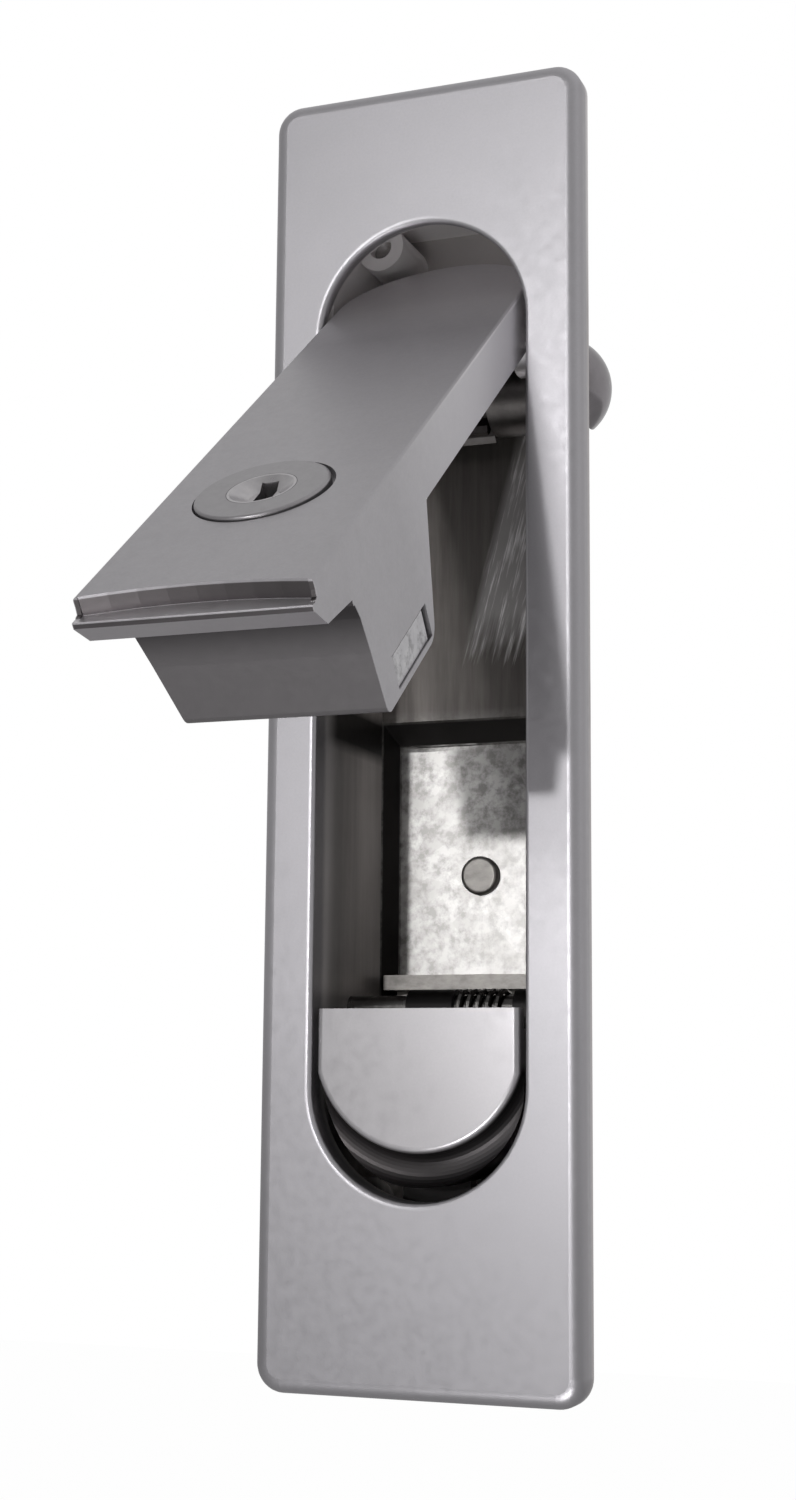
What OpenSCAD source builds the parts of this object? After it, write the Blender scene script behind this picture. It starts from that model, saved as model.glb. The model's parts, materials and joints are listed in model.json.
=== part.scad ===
// Flush pop-up handle lock for the door of a server rack.
// A die-cast plate and box hold a handle that hinges at the top of a long opening.
// A rocking push button holds the handle's lip. Opening the handle turns a toothed
// crank at the back, which pulls the locking rods.
// Depths are measured from the plate's front face, towards the back (+Y).
// The origin is at the centre of the plate's rear face, which lies on the door.

/* [Face plate] */
// Width of the face plate
plate_w = 38; // [34:0.5:46]
// Height of the face plate
plate_h = 150; // [146:1:170]
// Thickness of the face plate
plate_t = 3.6; // [3.2:0.1:4.2]
// Radius of the plate's corners, seen from the front
plate_corner_r = 3.2; // [2.6:0.1:6]
// Rounding of the plate's front edges
plate_edge_r = 1.7; // [0.6:0.1:2.2]

/* [Opening] */
// Width of the long opening
opening_w = 25; // [24.6:0.1:26]
// Height of the centre of the opening's upper round end
opening_top = 45.3; // [44:0.1:47]
// Height of the centre of the opening's lower round end
opening_bottom = -41.6; // [-42:0.1:-41.4]
// Rounding of the opening's front edge
opening_edge_r = 0.45; // [0.2:0.05:0.6]
// Thickness of the opening's front lip, before the relief for the handle's root
opening_lip_t = 0.9; // [0.7:0.1:1.2]
// How far the relief behind the upper lip widens the opening
relief_widen = 1.1; // [0.9:0.1:1.3]

/* [Housing box] */
// Thickness of the box's cast walls
wall_t = 1.2; // [1:0.1:1.6]
// Depth of the box's rear edge, from the front face
box_depth = 20.9; // [20.6:0.1:22]
// Space above the opening, inside the box
space_above = 6.6; // [6:0.1:8]
// Space below the opening, inside the box
space_below = 4.3; // [4:0.1:6]
// Outer corner radius of the box
box_corner_r = 2; // [1.6:0.1:3]
// Radius of the tapping drill of the fixing holes
fixing_r = 1.65; // [1.25:0.05:2.1]
// Depth of the fixing holes
fixing_deep = 10; // [6:0.5:12]
// Depth of the fixing bosses' rear ends, from the front face
fixing_boss_depth = 16; // [14:0.5:18]
// Radius of the fixing bosses
fixing_boss_r = 3.4; // [3:0.1:3.8]

/* [Back plate] */
// Thickness of the steel sheet
sheet_t = 1; // [0.8:0.1:1.4]
// How much deeper the pressed part lies
pan_deep = 3.8; // [3:0.1:4.5]
// Height of the pressed part's upper edge
pan_top = 2.7; // [0:0.1:8]
// Height of the pressed part's lower edge
pan_bottom = -50; // [-50.5:0.5:-48]
// Run of the slope at the pressed part's ends
pan_end_slope = 2.7; // [2:0.1:4]
// Run of the slope at the pressed part's sides
pan_side_slope = 1.2; // [1:0.1:2]

/* [Handle] */
// Gap between the handle's sides and the opening
handle_side_gap = 0.75; // [0.5:0.05:1.2]
// Gap between the handle's end and the button's top edge
handle_end_gap = 0.3; // [0.2:0.05:0.5]
// Thickness of the handle's arm
arm_t = 6.2; // [5.4:0.1:6.4]
// Thickness of the handle's round root
root_t = 3; // [2.4:0.1:3.2]
// Rounding of the handle's front edges
handle_edge_r = 0.4; // [0.3:0.1:0.8]
// Depth of the handle's deep end
deep_d = 18.5; // [18.3:0.1:19]
// Length of the handle's deep end along its back, from the lip to the arm
deep_len = 31; // [30.6:0.1:34]
// How much narrower the deep end's left side is at the back
deep_taper = 2.55; // [1.5:0.05:3]
// How far the face's edge curves back in the middle of the handle's end
end_curve = 1.1; // [0.5:0.1:1.5]
// Depth of the groove in front of the lip
groove_deep = 1.9; // [1.8:0.05:2.2]
// Width of the ribs that close the groove's ends
groove_rib = 0.5; // [0.4:0.05:0.8]
// How far the lip reaches past the handle's face
lip_reach = 1.4; // [1.2:0.05:1.6]
// Angle by which the handle stands open in the rest position
handle_open = 51.7; // [40:0.1:60]
// Depth of the handle's hinge axis, from the front face
pivot_depth = 6.3; // [6.2:0.05:6.8]
// Distance of the hinge axis below the centre of the opening's upper round end
pivot_drop = 1.05; // [0.8:0.05:1.4]
// Radius of the handle's hinge pin
hinge_pin_r = 2; // [1.5:0.1:2.1]
// Radius of the handle's plain hub
hub_r = 4.2; // [4:0.05:4.25]

/* [Key cylinder] */
// Sideways place of the key cylinder
cylinder_x = -0.9; // [-1.4:0.1:0]
// Distance of the key cylinder's axis above the handle's end
cylinder_up = 21.5; // [21:0.1:22]
// Radius of the cylinder's barrel
barrel_r = 6; // [5.8:0.1:6.2]
// Radius of the cylinder's flange
flange_r = 6.8; // [6.6:0.1:7.4]
// Depth of the flange's seat in the handle's face
flange_seat = 1; // [0.6:0.1:1.4]
// How far the flange stands out of the handle's face
flange_proud = 0.35; // [0.2:0.05:0.6]
// Radius of the key plug
plug_r = 3.5; // [3.2:0.1:3.8]
// Width of the key way
key_way_w = 1.8; // [1:0.1:2]
// Length of the key way
key_way_len = 4.8; // [4:0.1:5.6]
// Depth of the barrel's rear end, from the front face
barrel_depth = 12.7; // [12.3:0.1:12.8]

/* [Side bolt] */
// Thickness of the side bolt
bolt_t = 3.2; // [2.8:0.1:3.4]
// Width of the side bolt, along the handle
bolt_w = 10.2; // [9:0.1:10.4]
// Extra length of its window above the bolt
window_over = 1; // [0.8:0.1:1.4]
// Distance of the window's lower end above the handle's end
window_up = 12.9; // [12.7:0.1:13.1]
// Travel of the side bolt for a quarter turn of the key
bolt_travel = 3; // [2:0.1:3.2]
// Radius of the eccentric that drives the bolt
eccentric_r = 1.1; // [0.8:0.05:1.2]

/* [Push button] */
// Height of the button's straight top edge
button_top = -33; // [-33.2:0.1:-32.8]
// Gap between the button and the opening
button_gap = 0.65; // [0.4:0.05:0.8]
// Rounding of the button's front edges
button_edge_r = 0.7; // [0.4:0.1:1]
// Radius of the lower edge of the button's face
face_arc_r = 12.4; // [12:0.1:12.6]
// Height of the centre of the face's lower arc
face_arc_z = -36.4; // [-36.8:0.1:-36.2]
// Distance of the centre of the button's lower round end above the opening's
button_arc_up = 0.95; // [0.8:0.05:1.2]
// Depth of the rim outside the button's scoop
scoop_rim = 0.95; // [0.8:0.05:1.2]
// Wall thickness of the button
button_wall = 1.6; // [1.2:0.1:1.6]
// Depth of the button's hinge axis, from the front face
button_pivot_depth = 12; // [11.6:0.1:12.4]
// Distance of the button's hinge axis above its top edge
button_pivot_up = 0.4; // [0.2:0.1:0.5]
// Radius of the button's hinge pin
button_pin_r = 1.5; // [1.2:0.1:1.5]
// Angle through which the button rocks
button_swing = 10; // [8:0.5:10]

/* [Drive crank] */
// Module of the teeth
gear_module = 0.95; // [0.94:0.01:0.96]
// Number of teeth on each toothed root
gear_teeth = 10; // [10:1:10]
// Angle of the line between the two axes, below the horizontal
mesh_angle = 20; // [18:0.5:22]
// Width of the teeth
gear_w = 7.4; // [5:0.1:7.6]
// Radius of the crank's barrel
crank_barrel_r = 5; // [4.8:0.05:5.1]
// Radius of the drive pin
drive_pin_r = 2; // [1.6:0.1:2.2]
// Distance of the rod pin from the crank's axis
crank_reach = 13; // [12:0.5:15]
// Thickness of each crank arm
crank_arm_t = 2; // [1.8:0.1:2.1]
// Clear width between the crank arms
crank_fork_w = 14.2; // [13.8:0.1:14.4]
// Radius of the crank arms' ends
crank_end_r = 3.4; // [3:0.1:3.8]
// Radius of the rod pin between the crank's arms
rod_pin_r = 2; // [1.9:0.1:2.2]
// Angle of the crank arms below the horizontal when the handle is shut
crank_shut = 40; // [36:1:42]
// Radius of the drive pin's domed head
dome_r = 5.1; // [4.4:0.1:5.4]
// Height of the domed head
dome_h = 2.6; // [2:0.1:3]

/* [Small parts] */
// Thickness of the strip that stops the button's tail
stop_t = 0.65; // [0.5:0.05:0.8]
// Thickness of the stop bracket
bracket_t = 1.75; // [1.5:0.05:1.9]
// Radius of the guide rivet's head
rivet_head_r = 2.35; // [2:0.05:2.8]
// Height of the guide rivet's head
rivet_head_h = 1.2; // [0.9:0.1:1.5]
// Sideways place of the guide rivet
rivet_x = -0.8; // [-2:0.1:2]
// Height of the guide rivet
rivet_z = -16.1; // [-20:0.1:-12]
// Wire thickness of the handle's spring
handle_wire = 0.9; // [0.8:0.05:0.9]
// Wire thickness of the button's spring
button_wire = 0.7; // [0.5:0.05:0.7]

/* [Hidden] */

$fn = 48;

// Running clearance of pins in their bores, and the free space around fixed pieces
run = 0.05;
fit = 0.03;
free = 0.3;
// A cut reaches this far past the surface that it opens
past = 0.5;

// Opening and box
opening_r = opening_w / 2;
opening_peak = opening_top + opening_r;
opening_foot = opening_bottom - opening_r;
box_top = opening_peak + space_above;
box_foot = opening_foot - space_below;
box_half = opening_r + wall_t;
box_mid = (box_top + box_foot) / 2;
box_tall = box_top - box_foot + 2 * wall_t;
fixing_out = 2.6;
fixing_top = box_top + wall_t + fixing_out;
fixing_foot = box_foot - wall_t - fixing_out;

// Screws of the back plate
screw_r = 1.45;
screw_boss_r = 3;
screw_boss_front = 12;
screw_x = opening_r - screw_boss_r + 0.4;
screw_top = box_top - 3.8;
screw_foot = box_foot + 3.6;
screw_end = 14;
screw_head_r = 2.7;
screw_head_h = 1.8;

// Pressed part of the back plate
pan_floor = box_depth + pan_deep;
pan_rear = pan_floor + sheet_t;

// Handle
handle_half = opening_r - handle_side_gap;
handle_end = button_top + handle_end_gap;
pivot_z = opening_top - pivot_drop;
end_arc_r = (pow(handle_half, 2) + pow(end_curve, 2)) / (2 * end_curve);
hub_gap = 0.4;
spring_from = gear_w / 2 + hub_gap;
spring_to = handle_half - 2;
cell_floor = 2.4;
cell_rib = 1.6;
cell_side = 1.8;
cell_rows = 3;
cell_foot = 3.5;
cell_head = 12.5;
cell_from = handle_end + deep_len + cell_foot;
cell_to = pivot_z - cell_head;

// Deep end's side profile: depths behind the groove's floor and heights above the handle's end
ledge_t = 0.6;
ledge_edge = 0.1;
hook_in = 2.86;
hook_up = 0.75;
throat_in = 3.7;
throat_up = 7.2;
under_in = 6;
under_up = 8.05;
belly_in = 9.8;
belly_up = 8.5;
heel_r = 0.9;
heel_up = 9.9;
shoulder_r = 2.6;
shoulder_up = 23.3;
waist_depth = 10.4;
waist_up = 28.9;

// Toothed roots: a tooth is this share of the pitch at its root, pitch circle and tip
gear_r = gear_module * gear_teeth / 2;
gear_step = 360 / gear_teeth;
gear_tip_r = gear_r + 0.8 * gear_module;
gear_root_r = gear_r - 1.25 * gear_module;
gear_neck_r = gear_root_r - 0.3;
tooth_root_share = 0.56;
tooth_pitch_share = 0.43;
tooth_tip_share = 0.17;

// Drive
drive_y = pivot_depth + 2 * gear_r * cos(mesh_angle);
drive_z = pivot_z - 2 * gear_r * sin(mesh_angle);
crank_rest = handle_open - crank_shut;
crank_half = opening_r - 0.6;
crank_arm_x = crank_fork_w / 2;
rod_end_r = rod_pin_r - 0.4;
arm_slot_gap = 0.3;
arm_slot_half = (box_depth + sheet_t - drive_y) * tan(crank_shut) + crank_end_r / cos(crank_shut) + 0.25;
washer_t = 2;
washer_r = dome_r - 0.6;
clip_t = 0.8;
clip_gap = 0.35;
clip_groove = 0.5;
dome_ball_r = (pow(dome_r, 2) + pow(dome_h, 2)) / (2 * dome_h);

// Key cylinder, bolt and their places
cylinder_z = handle_end + cylinder_up;
window_foot = handle_end + window_up;
window_h = bolt_w + window_over + 0.2;
window_d = bolt_t + 0.36;
window_rear_gap = 0.08;
bolt_rear_wall = 0.6;
driver_t = 0.6;
driver_r = plug_r - 0.2;
bolt_rear = deep_d - bolt_rear_wall - window_rear_gap;
bolt_front = bolt_rear - bolt_t;
bolt_foot = window_foot + 0.2;
bolt_tip = handle_half - 0.2;
bolt_tail = cylinder_x - 4.3;
eccentric_off = bolt_travel / 2;
driver_room = max(bolt_front, barrel_depth + driver_t + free);
cylinder_screw_up = 5;
cylinder_screw_r = 0.95;
cylinder_screw_head_r = 1.6;
cylinder_screw_head_h = 1.1;
cylinder_screw_seat = 14.4;

// Button
button_half = opening_r - button_gap;
button_pivot_z = button_top + button_pivot_up;
button_arc_z = opening_bottom + button_arc_up;
scoop_r = (button_half - button_arc_z - face_arc_r + face_arc_z) / 2;
web_top = button_pivot_z - 2.6;
web_t = 1.6;
web_foot = web_top - web_t;
button_rear = 9;
button_hub_r = 2.2;
lug_inner = [-5, 0.6];
lug_outer = [7.9, 10.9];
tail_half = 4;
tail_end = 19.3;

// Stop bracket and travel stop
stop_top = button_top + 2.02;
stop_front = 17.6;
bracket_foot = button_top + 2.9;
bracket_front = 18.3;
bracket_leg = 14;
bracket_half = opening_r - pan_side_slope - 0.3;
bracket_rivet_x = 6;
bracket_rivet_z = button_top - 6;
bracket_rivet_r = 1.2;
bracket_rivet_head_r = 2.1;
bracket_rivet_head_h = 0.8;
rivet_r = 1.5;
nub_top = stop_top - stop_t - (tail_end - button_pivot_depth) * sin(button_swing) - 0.05;

// Springs
coil_gap = 0.45;
handle_coil_r = hinge_pin_r + 1.1;
handle_pitch = handle_wire + coil_gap;
handle_leg = 10;
handle_leg_in = 0.7;
handle_leg_past = 0.6;
leg_groove_w = 1.6;
leg_groove_len = 11.5;
handle_turn = 90 - handle_open + 3 * 360;
handle_coil_x = spring_to - handle_leg_in;
button_coil_r = button_pin_r + 0.45;
button_pitch = button_wire + coil_gap;
button_legs = [6.6, 4.6];
button_lean = 12.5;
button_turn = 270 + 4 * 360 - (90 - button_lean);
button_coil_x = lug_outer[0] - 1.6;
wire_sides = 6;
turn_rings = 16;

// Rod guide
guide_half = 7;
guide_t = 1.2;
guide_tall = 12;
guide_out = 7.8;
guide_lip = 1.5;

echo("least gap between the handle spring's turns", handle_pitch - handle_wire);
echo("least gap between the button spring's turns", button_pitch - button_wire);

// Moves children from depths behind the front face to the part's frame
module from_face() {
    translate([0, -plate_t, 0]) children();
}

// Extrudes an outline drawn across X and Z, from one depth to another
module through(from, to) {
    translate([0, to, 0]) rotate([90, 0, 0]) linear_extrude(to - from) children();
}

// Extrudes a profile drawn across depth and Z, from one X to another
module across(from, to) {
    translate([from, 0, 0]) rotate([90, 0, 90]) linear_extrude(to - from) children();
}

// Extrudes a section drawn across X and depth, from one height to another
module upright(from, to) {
    translate([0, 0, from]) linear_extrude(to - from) children();
}

// Turns a profile of radius and depth about the depth axis
module turned() {
    rotate([-90, 0, 0]) rotate_extrude() children();
}

// Round bar along X at a depth and height
module bar_x(r, from, to, y, z) {
    translate([from, y, z]) rotate([0, 90, 0]) cylinder(r = r, h = to - from);
}

// Round bar along the depth at an X and height
module bar_y(r, from, to, x, z) {
    translate([x, from, z]) rotate([-90, 0, 0]) cylinder(r = r, h = to - from);
}

// Handle pieces are drawn shut, and this swings them to the rest position
module swung() {
    translate([0, pivot_depth, pivot_z]) rotate([-handle_open, 0, 0])
        translate([0, -pivot_depth, -pivot_z]) children();
}

// Section with its front corners rounded: width across X, thickness along the depth
module front_rounded(half, thick, r) {
    translate([-half, r]) square([2 * half, thick - r]);
    translate([r - half, 0]) square([2 * (half - r), thick]);
    for (side = [-1, 1]) translate([side * (half - r), r]) circle(r);
}

// Profile of radius and depth of a disc whose front edge is rounded
module round_edge_profile(outer, thick, r) {
    translate([0, r]) square([outer, thick - r]);
    square([outer - r, thick]);
    intersection() {
        translate([outer - r, r]) circle(r);
        square([outer, thick]);
    }
}

// Rectangle with rounded corners, centred
module rounded_rect(w, h, r) {
    square([w - 2 * r, h], center = true);
    square([w, h - 2 * r], center = true);
    for (x = [-1, 1], z = [-1, 1]) translate([x * (w / 2 - r), z * (h / 2 - r)]) circle(r);
}

// Outline between two round ends
module obround(r, top, foot) {
    translate([0, top]) circle(r);
    translate([0, foot]) circle(r);
    translate([-r, foot]) square([2 * r, top - foot]);
}

// Points of an arc
function arc(cx, cy, r, from, to, steps) =
    [for (i = [0:steps]) let (a = from + (to - from) * i / steps) [cx + r * cos(a), cy + r * sin(a)]];

// A toothed root across depth and Z, with one tooth at the phase angle
module toothed(phase) {
    circle(gear_root_r);
    for (k = [0:gear_teeth - 1]) rotate(phase + k * gear_step) tooth();
}

module tooth() {
    root = gear_step * tooth_root_share / 2;
    pitch = gear_step * tooth_pitch_share / 2;
    tip = gear_step * tooth_tip_share / 2;
    inner = gear_root_r - 0.4;
    polygon([
        for (p = [[inner, -root], [gear_root_r, -root], [gear_r, -pitch], [gear_tip_r, -tip],
                  [gear_tip_r, tip], [gear_r, pitch], [gear_root_r, root], [inner, root]])
            [p[0] * cos(p[1]), p[0] * sin(p[1])]
    ]);
}

// Torsion spring wound along X about an axis: a leg, the coil and a second leg.
// Angles are measured from the back towards the top, and a negative turn winds down.
function coil_point(r, start, turn, pitch, t) =
    [-pitch * abs(turn) / 360 * t, r * cos(start + turn * t), r * sin(start + turn * t)];

function coil_path(r, start, turn, pitch, leg1, leg2) =
    let (
        n = ceil(abs(turn) / 360 * turn_rings),
        way = sign(turn),
        first = coil_point(r, start, turn, pitch, 0),
        last = coil_point(r, start, turn, pitch, 1),
        dir1 = [0, way * -sin(start), way * cos(start)],
        dir2 = [0, way * -sin(start + turn), way * cos(start + turn)]
    )
    concat([first - leg1 * dir1], [for (i = [0:n]) coil_point(r, start, turn, pitch, i / n)],
        [last + leg2 * dir2]);

function unit(v) = v / norm(v);

// Direction of a path at one of its points
function heading(path, i) =
    let (n = len(path) - 1)
    unit((i == 0 ? unit(path[1] - path[0]) : unit(path[i] - path[i - 1]))
        + (i == n ? unit(path[n] - path[n - 1]) : unit(path[i + 1] - path[i])));

function wire_ring(path, i, r) =
    let (
        along = heading(path, i),
        side = unit(cross(along, [0, along[2] + 0.01, 0.02 - along[1]])),
        up = cross(side, along)
    )
    [for (k = [0:wire_sides - 1]) let (a = 360 * k / wire_sides)
        path[i] + r * (cos(a) * side + sin(a) * up)];

// Wire swept along a path as one closed tube
module wire(path, thick) {
    rings = len(path);
    points = [for (i = [0:rings - 1]) each wire_ring(path, i, thick / 2)];
    sides = [for (i = [0:rings - 2], k = [0:wire_sides - 1])
        let (a = i * wire_sides + k, b = i * wire_sides + (k + 1) % wire_sides)
            each [[a, b, b + wire_sides], [a, b + wire_sides, a + wire_sides]]];
    ends = [for (k = [1:wire_sides - 2]) each [
        [0, k + 1, k],
        [(rings - 1) * wire_sides, (rings - 1) * wire_sides + k, (rings - 1) * wire_sides + k + 1]]];
    polyhedron(points, concat(sides, ends));
}

// Plate with all its front edges rounded
module plate_blank() {
    inner_x = plate_w / 2 - plate_corner_r;
    inner_z = plate_h / 2 - plate_corner_r;
    upright(-inner_z, inner_z) front_rounded(plate_w / 2, plate_t, plate_edge_r);
    across(-inner_x, inner_x) rotate(90) mirror([0, 1])
        front_rounded(plate_h / 2, plate_t, plate_edge_r);
    for (x = [-inner_x, inner_x], z = [-inner_z, inner_z]) translate([x, 0, z])
        turned() round_edge_profile(plate_corner_r, plate_t, plate_edge_r);
}

// What the rounding takes off the opening's front edge
module opening_rounding() {
    ring = opening_r + opening_edge_r;
    for (z = [opening_top, opening_bottom]) translate([0, 0, z]) turned() difference() {
        translate([opening_r - past, -past]) square([opening_edge_r + past, opening_edge_r + past]);
        translate([ring, opening_edge_r]) circle(opening_edge_r);
    }
    for (side = [-1, 1]) upright(opening_bottom, opening_top) difference() {
        translate([side > 0 ? opening_r - past : -ring, -past])
            square([opening_edge_r + past, opening_edge_r + past]);
        translate([side * ring, opening_edge_r]) circle(opening_edge_r);
    }
}

// Widens the opening's upper round end behind its lip, where the handle's root swings
module root_relief() {
    translate([0, opening_lip_t, opening_top]) rotate([-90, 0, 0])
        cylinder(r1 = opening_r, r2 = opening_r + relief_widen, h = plate_t - opening_lip_t);
}

module screw_places() {
    for (x = [-screw_x, screw_x], z = [screw_top, screw_foot]) translate([x, 0, z]) children();
}

module lock_housing() {
    color("silver") from_face() difference() {
        union() {
            plate_blank();
            through(plate_t - past, box_depth) translate([0, box_mid])
                rounded_rect(2 * box_half, box_tall, box_corner_r);
            for (z = [fixing_top, fixing_foot])
                bar_y(fixing_boss_r, plate_t - past, fixing_boss_depth, 0, z);
        }
        through(-past, plate_t + past) obround(opening_r, opening_top, opening_bottom);
        opening_rounding();
        root_relief();
        difference() {
            through(plate_t, box_depth + past) translate([-opening_r, box_foot])
                square([2 * opening_r, box_top - box_foot]);
            screw_places() bar_y(screw_boss_r, screw_boss_front, box_depth, 0, 0);
        }
        screw_places() bar_y(screw_r, screw_boss_front - past, box_depth + past, 0, 0);
        for (z = [fixing_top, fixing_foot])
            bar_y(fixing_r, fixing_boss_depth - fixing_deep, fixing_boss_depth + past, 0, z);
        bar_x(hinge_pin_r + fit, -box_half - past, box_half + past, pivot_depth, pivot_z);
        bar_x(drive_pin_r + fit, -box_half - past, box_half + past, drive_y, drive_z);
        bar_x(button_pin_r + fit, -box_half - past, box_half + past,
            button_pivot_depth, button_pivot_z);
        bolt_keeper();
    }
}

// Window in the right wall that the side bolt enters when the handle is shut and locked
module bolt_keeper() {
    around = 0.6;
    translate([opening_r - past, bolt_front - around, window_foot - around])
        cube([wall_t + 2 * past, bolt_t + 2 * around, window_h + 2 * around]);
}

module back_plate() {
    color("gainsboro") from_face() difference() {
        union() {
            through(box_depth, box_depth + sheet_t) translate([0, box_mid])
                rounded_rect(2 * box_half, box_tall, box_corner_r);
            pan_outer();
        }
        pan_inner();
        for (side = [-1, 1]) crank_slot(side);
        bar_x(crank_barrel_r + free, -crank_half - free, crank_half + free, drive_y, drive_z);
        screw_places() bar_y(screw_r + 0.1, box_depth - past, box_depth + sheet_t + past, 0, 0);
        bar_y(handle_wire / 2 + 0.25, box_depth - past, box_depth + sheet_t + past,
            handle_coil_x - handle_pitch * handle_turn / 360, pivot_z + handle_coil_r);
        bar_y(rivet_r + fit, pan_floor - past, pan_rear + past, rivet_x, rivet_z);
        for (x = [-bracket_rivet_x, bracket_rivet_x])
            bar_y(bracket_rivet_r + fit, pan_floor - past, pan_rear + past, x, bracket_rivet_z);
    }
}

// Outer and inner forms of the pressed part
module pan_outer() {
    pan_form(box_depth, sheet_t);
}

module pan_inner() {
    pan_form(box_depth - past, 0);
}

module pan_form(front, thick) {
    wide = opening_r + thick * 0.5;
    deep = pan_floor + thick;
    narrow = wide - pan_side_slope;
    top = pan_top + thick * 0.5;
    foot = pan_bottom - thick * 0.5;
    intersection() {
        upright(foot - 1, top + 1) polygon([
            [-wide, front], [wide, front], [wide, box_depth + thick * 0.5],
            [narrow, deep], [-narrow, deep], [-wide, box_depth + thick * 0.5]]);
        across(-wide - 1, wide + 1) polygon([
            [front, top], [box_depth + thick * 0.5, top], [deep, top - pan_end_slope],
            [deep, foot + pan_end_slope], [box_depth + thick * 0.5, foot], [front, foot]]);
    }
}

// Slot in the back plate that a crank arm swings through
module crank_slot(side) {
    wide = crank_arm_t + 2 * arm_slot_gap;
    translate([side * (crank_arm_x + crank_arm_t / 2) - wide / 2, box_depth - past, drive_z - arm_slot_half])
        cube([wide, sheet_t + 2 * past, 2 * arm_slot_half]);
}

module back_screws() {
    color("lightgrey") from_face() screw_places() difference() {
        union() {
            bar_y(screw_r - fit, screw_end, box_depth + sheet_t + past, 0, 0);
            translate([0, box_depth + sheet_t + screw_head_h, 0]) mirror([0, 1, 0])
                turned() round_edge_profile(screw_head_r, screw_head_h, 0.8);
        }
        for (turn = [0, 90]) rotate([0, turn, 0])
            translate([-1.7, box_depth + sheet_t + screw_head_h - 0.9, -0.35]) cube([3.4, 2, 0.7]);
    }
}

module guide_rivet() {
    color("darkgrey") from_face() translate([rivet_x, 0, rivet_z]) {
        translate([0, pan_floor - rivet_head_h, 0]) turned()
            round_edge_profile(rivet_head_r, rivet_head_h, 0.5);
        bar_y(rivet_r, pan_floor - past, pan_rear + guide_t + past, 0, 0);
        translate([0, pan_rear + guide_t + 0.9, 0]) mirror([0, 1, 0])
            turned() round_edge_profile(2.3, 0.9, 0.4);
    }
}

// Channel that keeps a locking rod close to the back
module rod_guide() {
    color("gainsboro") from_face() translate([rivet_x, pan_rear, rivet_z]) difference() {
        upright(-guide_tall / 2, guide_tall / 2) {
            translate([-guide_half, 0]) square([2 * guide_half, guide_t]);
            for (side = [-1, 1]) {
                translate([side * (guide_half - guide_t / 2) - guide_t / 2, 0])
                    square([guide_t, guide_out]);
                translate([side * (guide_half - guide_lip / 2 - guide_t / 2) - guide_lip / 2,
                           guide_out - guide_t])
                    square([guide_lip, guide_t]);
            }
        }
        bar_y(rivet_r + fit, -past, guide_t + past, 0, 0);
    }
}

// Thick strip bent down along the back plate's pressed part
module stop_bracket() {
    top = bracket_foot + bracket_t;
    color("darkgrey") from_face() difference() {
        across(-bracket_half, bracket_half) polygon([
            [bracket_front, bracket_foot], [bracket_front, top], [pan_floor, top],
            [pan_floor, top - bracket_leg], [pan_floor - bracket_t, top - bracket_leg],
            [pan_floor - bracket_t, bracket_foot]]);
        for (x = [-bracket_rivet_x, bracket_rivet_x])
            bar_y(bracket_rivet_r + fit, bracket_front, pan_floor + past, x, bracket_rivet_z);
    }
}

// Thin strip over the button's tail, bent down in front of the stop bracket's leg
module travel_stop() {
    rear = pan_floor - bracket_t;
    half = opening_r - 0.1;
    narrow = bracket_half;
    color("grey") from_face() difference() {
        union() {
            through(stop_front, box_depth - 0.1) translate([-half, stop_top - stop_t])
                square([2 * half, stop_t]);
            across(-narrow, narrow) polygon([
                [stop_front + 1, stop_top - stop_t], [stop_front + 1, stop_top], [rear, stop_top],
                [rear, stop_top - bracket_leg + 2], [rear - stop_t, stop_top - bracket_leg + 2],
                [rear - stop_t, stop_top - stop_t]]);
        }
        for (x = [-bracket_rivet_x, bracket_rivet_x])
            bar_y(bracket_rivet_r + fit, rear - stop_t - past, rear + past, x, bracket_rivet_z);
    }
}

module bracket_rivets() {
    front = pan_floor - bracket_t - stop_t;
    color("darkgrey") from_face() for (x = [-bracket_rivet_x, bracket_rivet_x])
        translate([x, 0, bracket_rivet_z]) {
            translate([0, front - bracket_rivet_head_h, 0]) bracket_rivet_head();
            bar_y(bracket_rivet_r, front - 0.1, pan_rear + 0.1, 0, 0);
            translate([0, pan_rear + bracket_rivet_head_h, 0]) mirror([0, 1, 0])
                bracket_rivet_head();
        }
}

module bracket_rivet_head() {
    turned() round_edge_profile(bracket_rivet_head_r, bracket_rivet_head_h, bracket_rivet_head_h / 2);
}

// Side profile of the handle's deep end and hooked lip, across depth and height
module deep_profile() {
    end = handle_end;
    polygon(concat(
        [[0, end], [groove_deep, end], [groove_deep, end - lip_reach + ledge_edge],
         [groove_deep + ledge_edge, end - lip_reach], [groove_deep + ledge_t, end - lip_reach],
         [groove_deep + hook_in, end + hook_up], [groove_deep + throat_in, end + throat_up],
         [groove_deep + under_in, end + under_up], [groove_deep + belly_in, end + belly_up]],
        arc(deep_d - heel_r, end + heel_up, heel_r, -85, 0, 4),
        arc(deep_d - shoulder_r, end + shoulder_up, shoulder_r, 5, 66, 6),
        [[waist_depth, end + waist_up], [arm_t, end + deep_len], [0, end + deep_len]]
    ));
}

// Section with the face's rounded edges, that narrows the deep end's left side towards the back
module deep_section() {
    difference() {
        front_rounded(handle_half, deep_d + past, handle_edge_r);
        polygon([
            [-handle_half, arm_t], [-handle_half + deep_taper, deep_d],
            [-handle_half + deep_taper, deep_d + 1], [-handle_half - 1, deep_d + 1],
            [-handle_half - 1, arm_t]]);
    }
}

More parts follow.
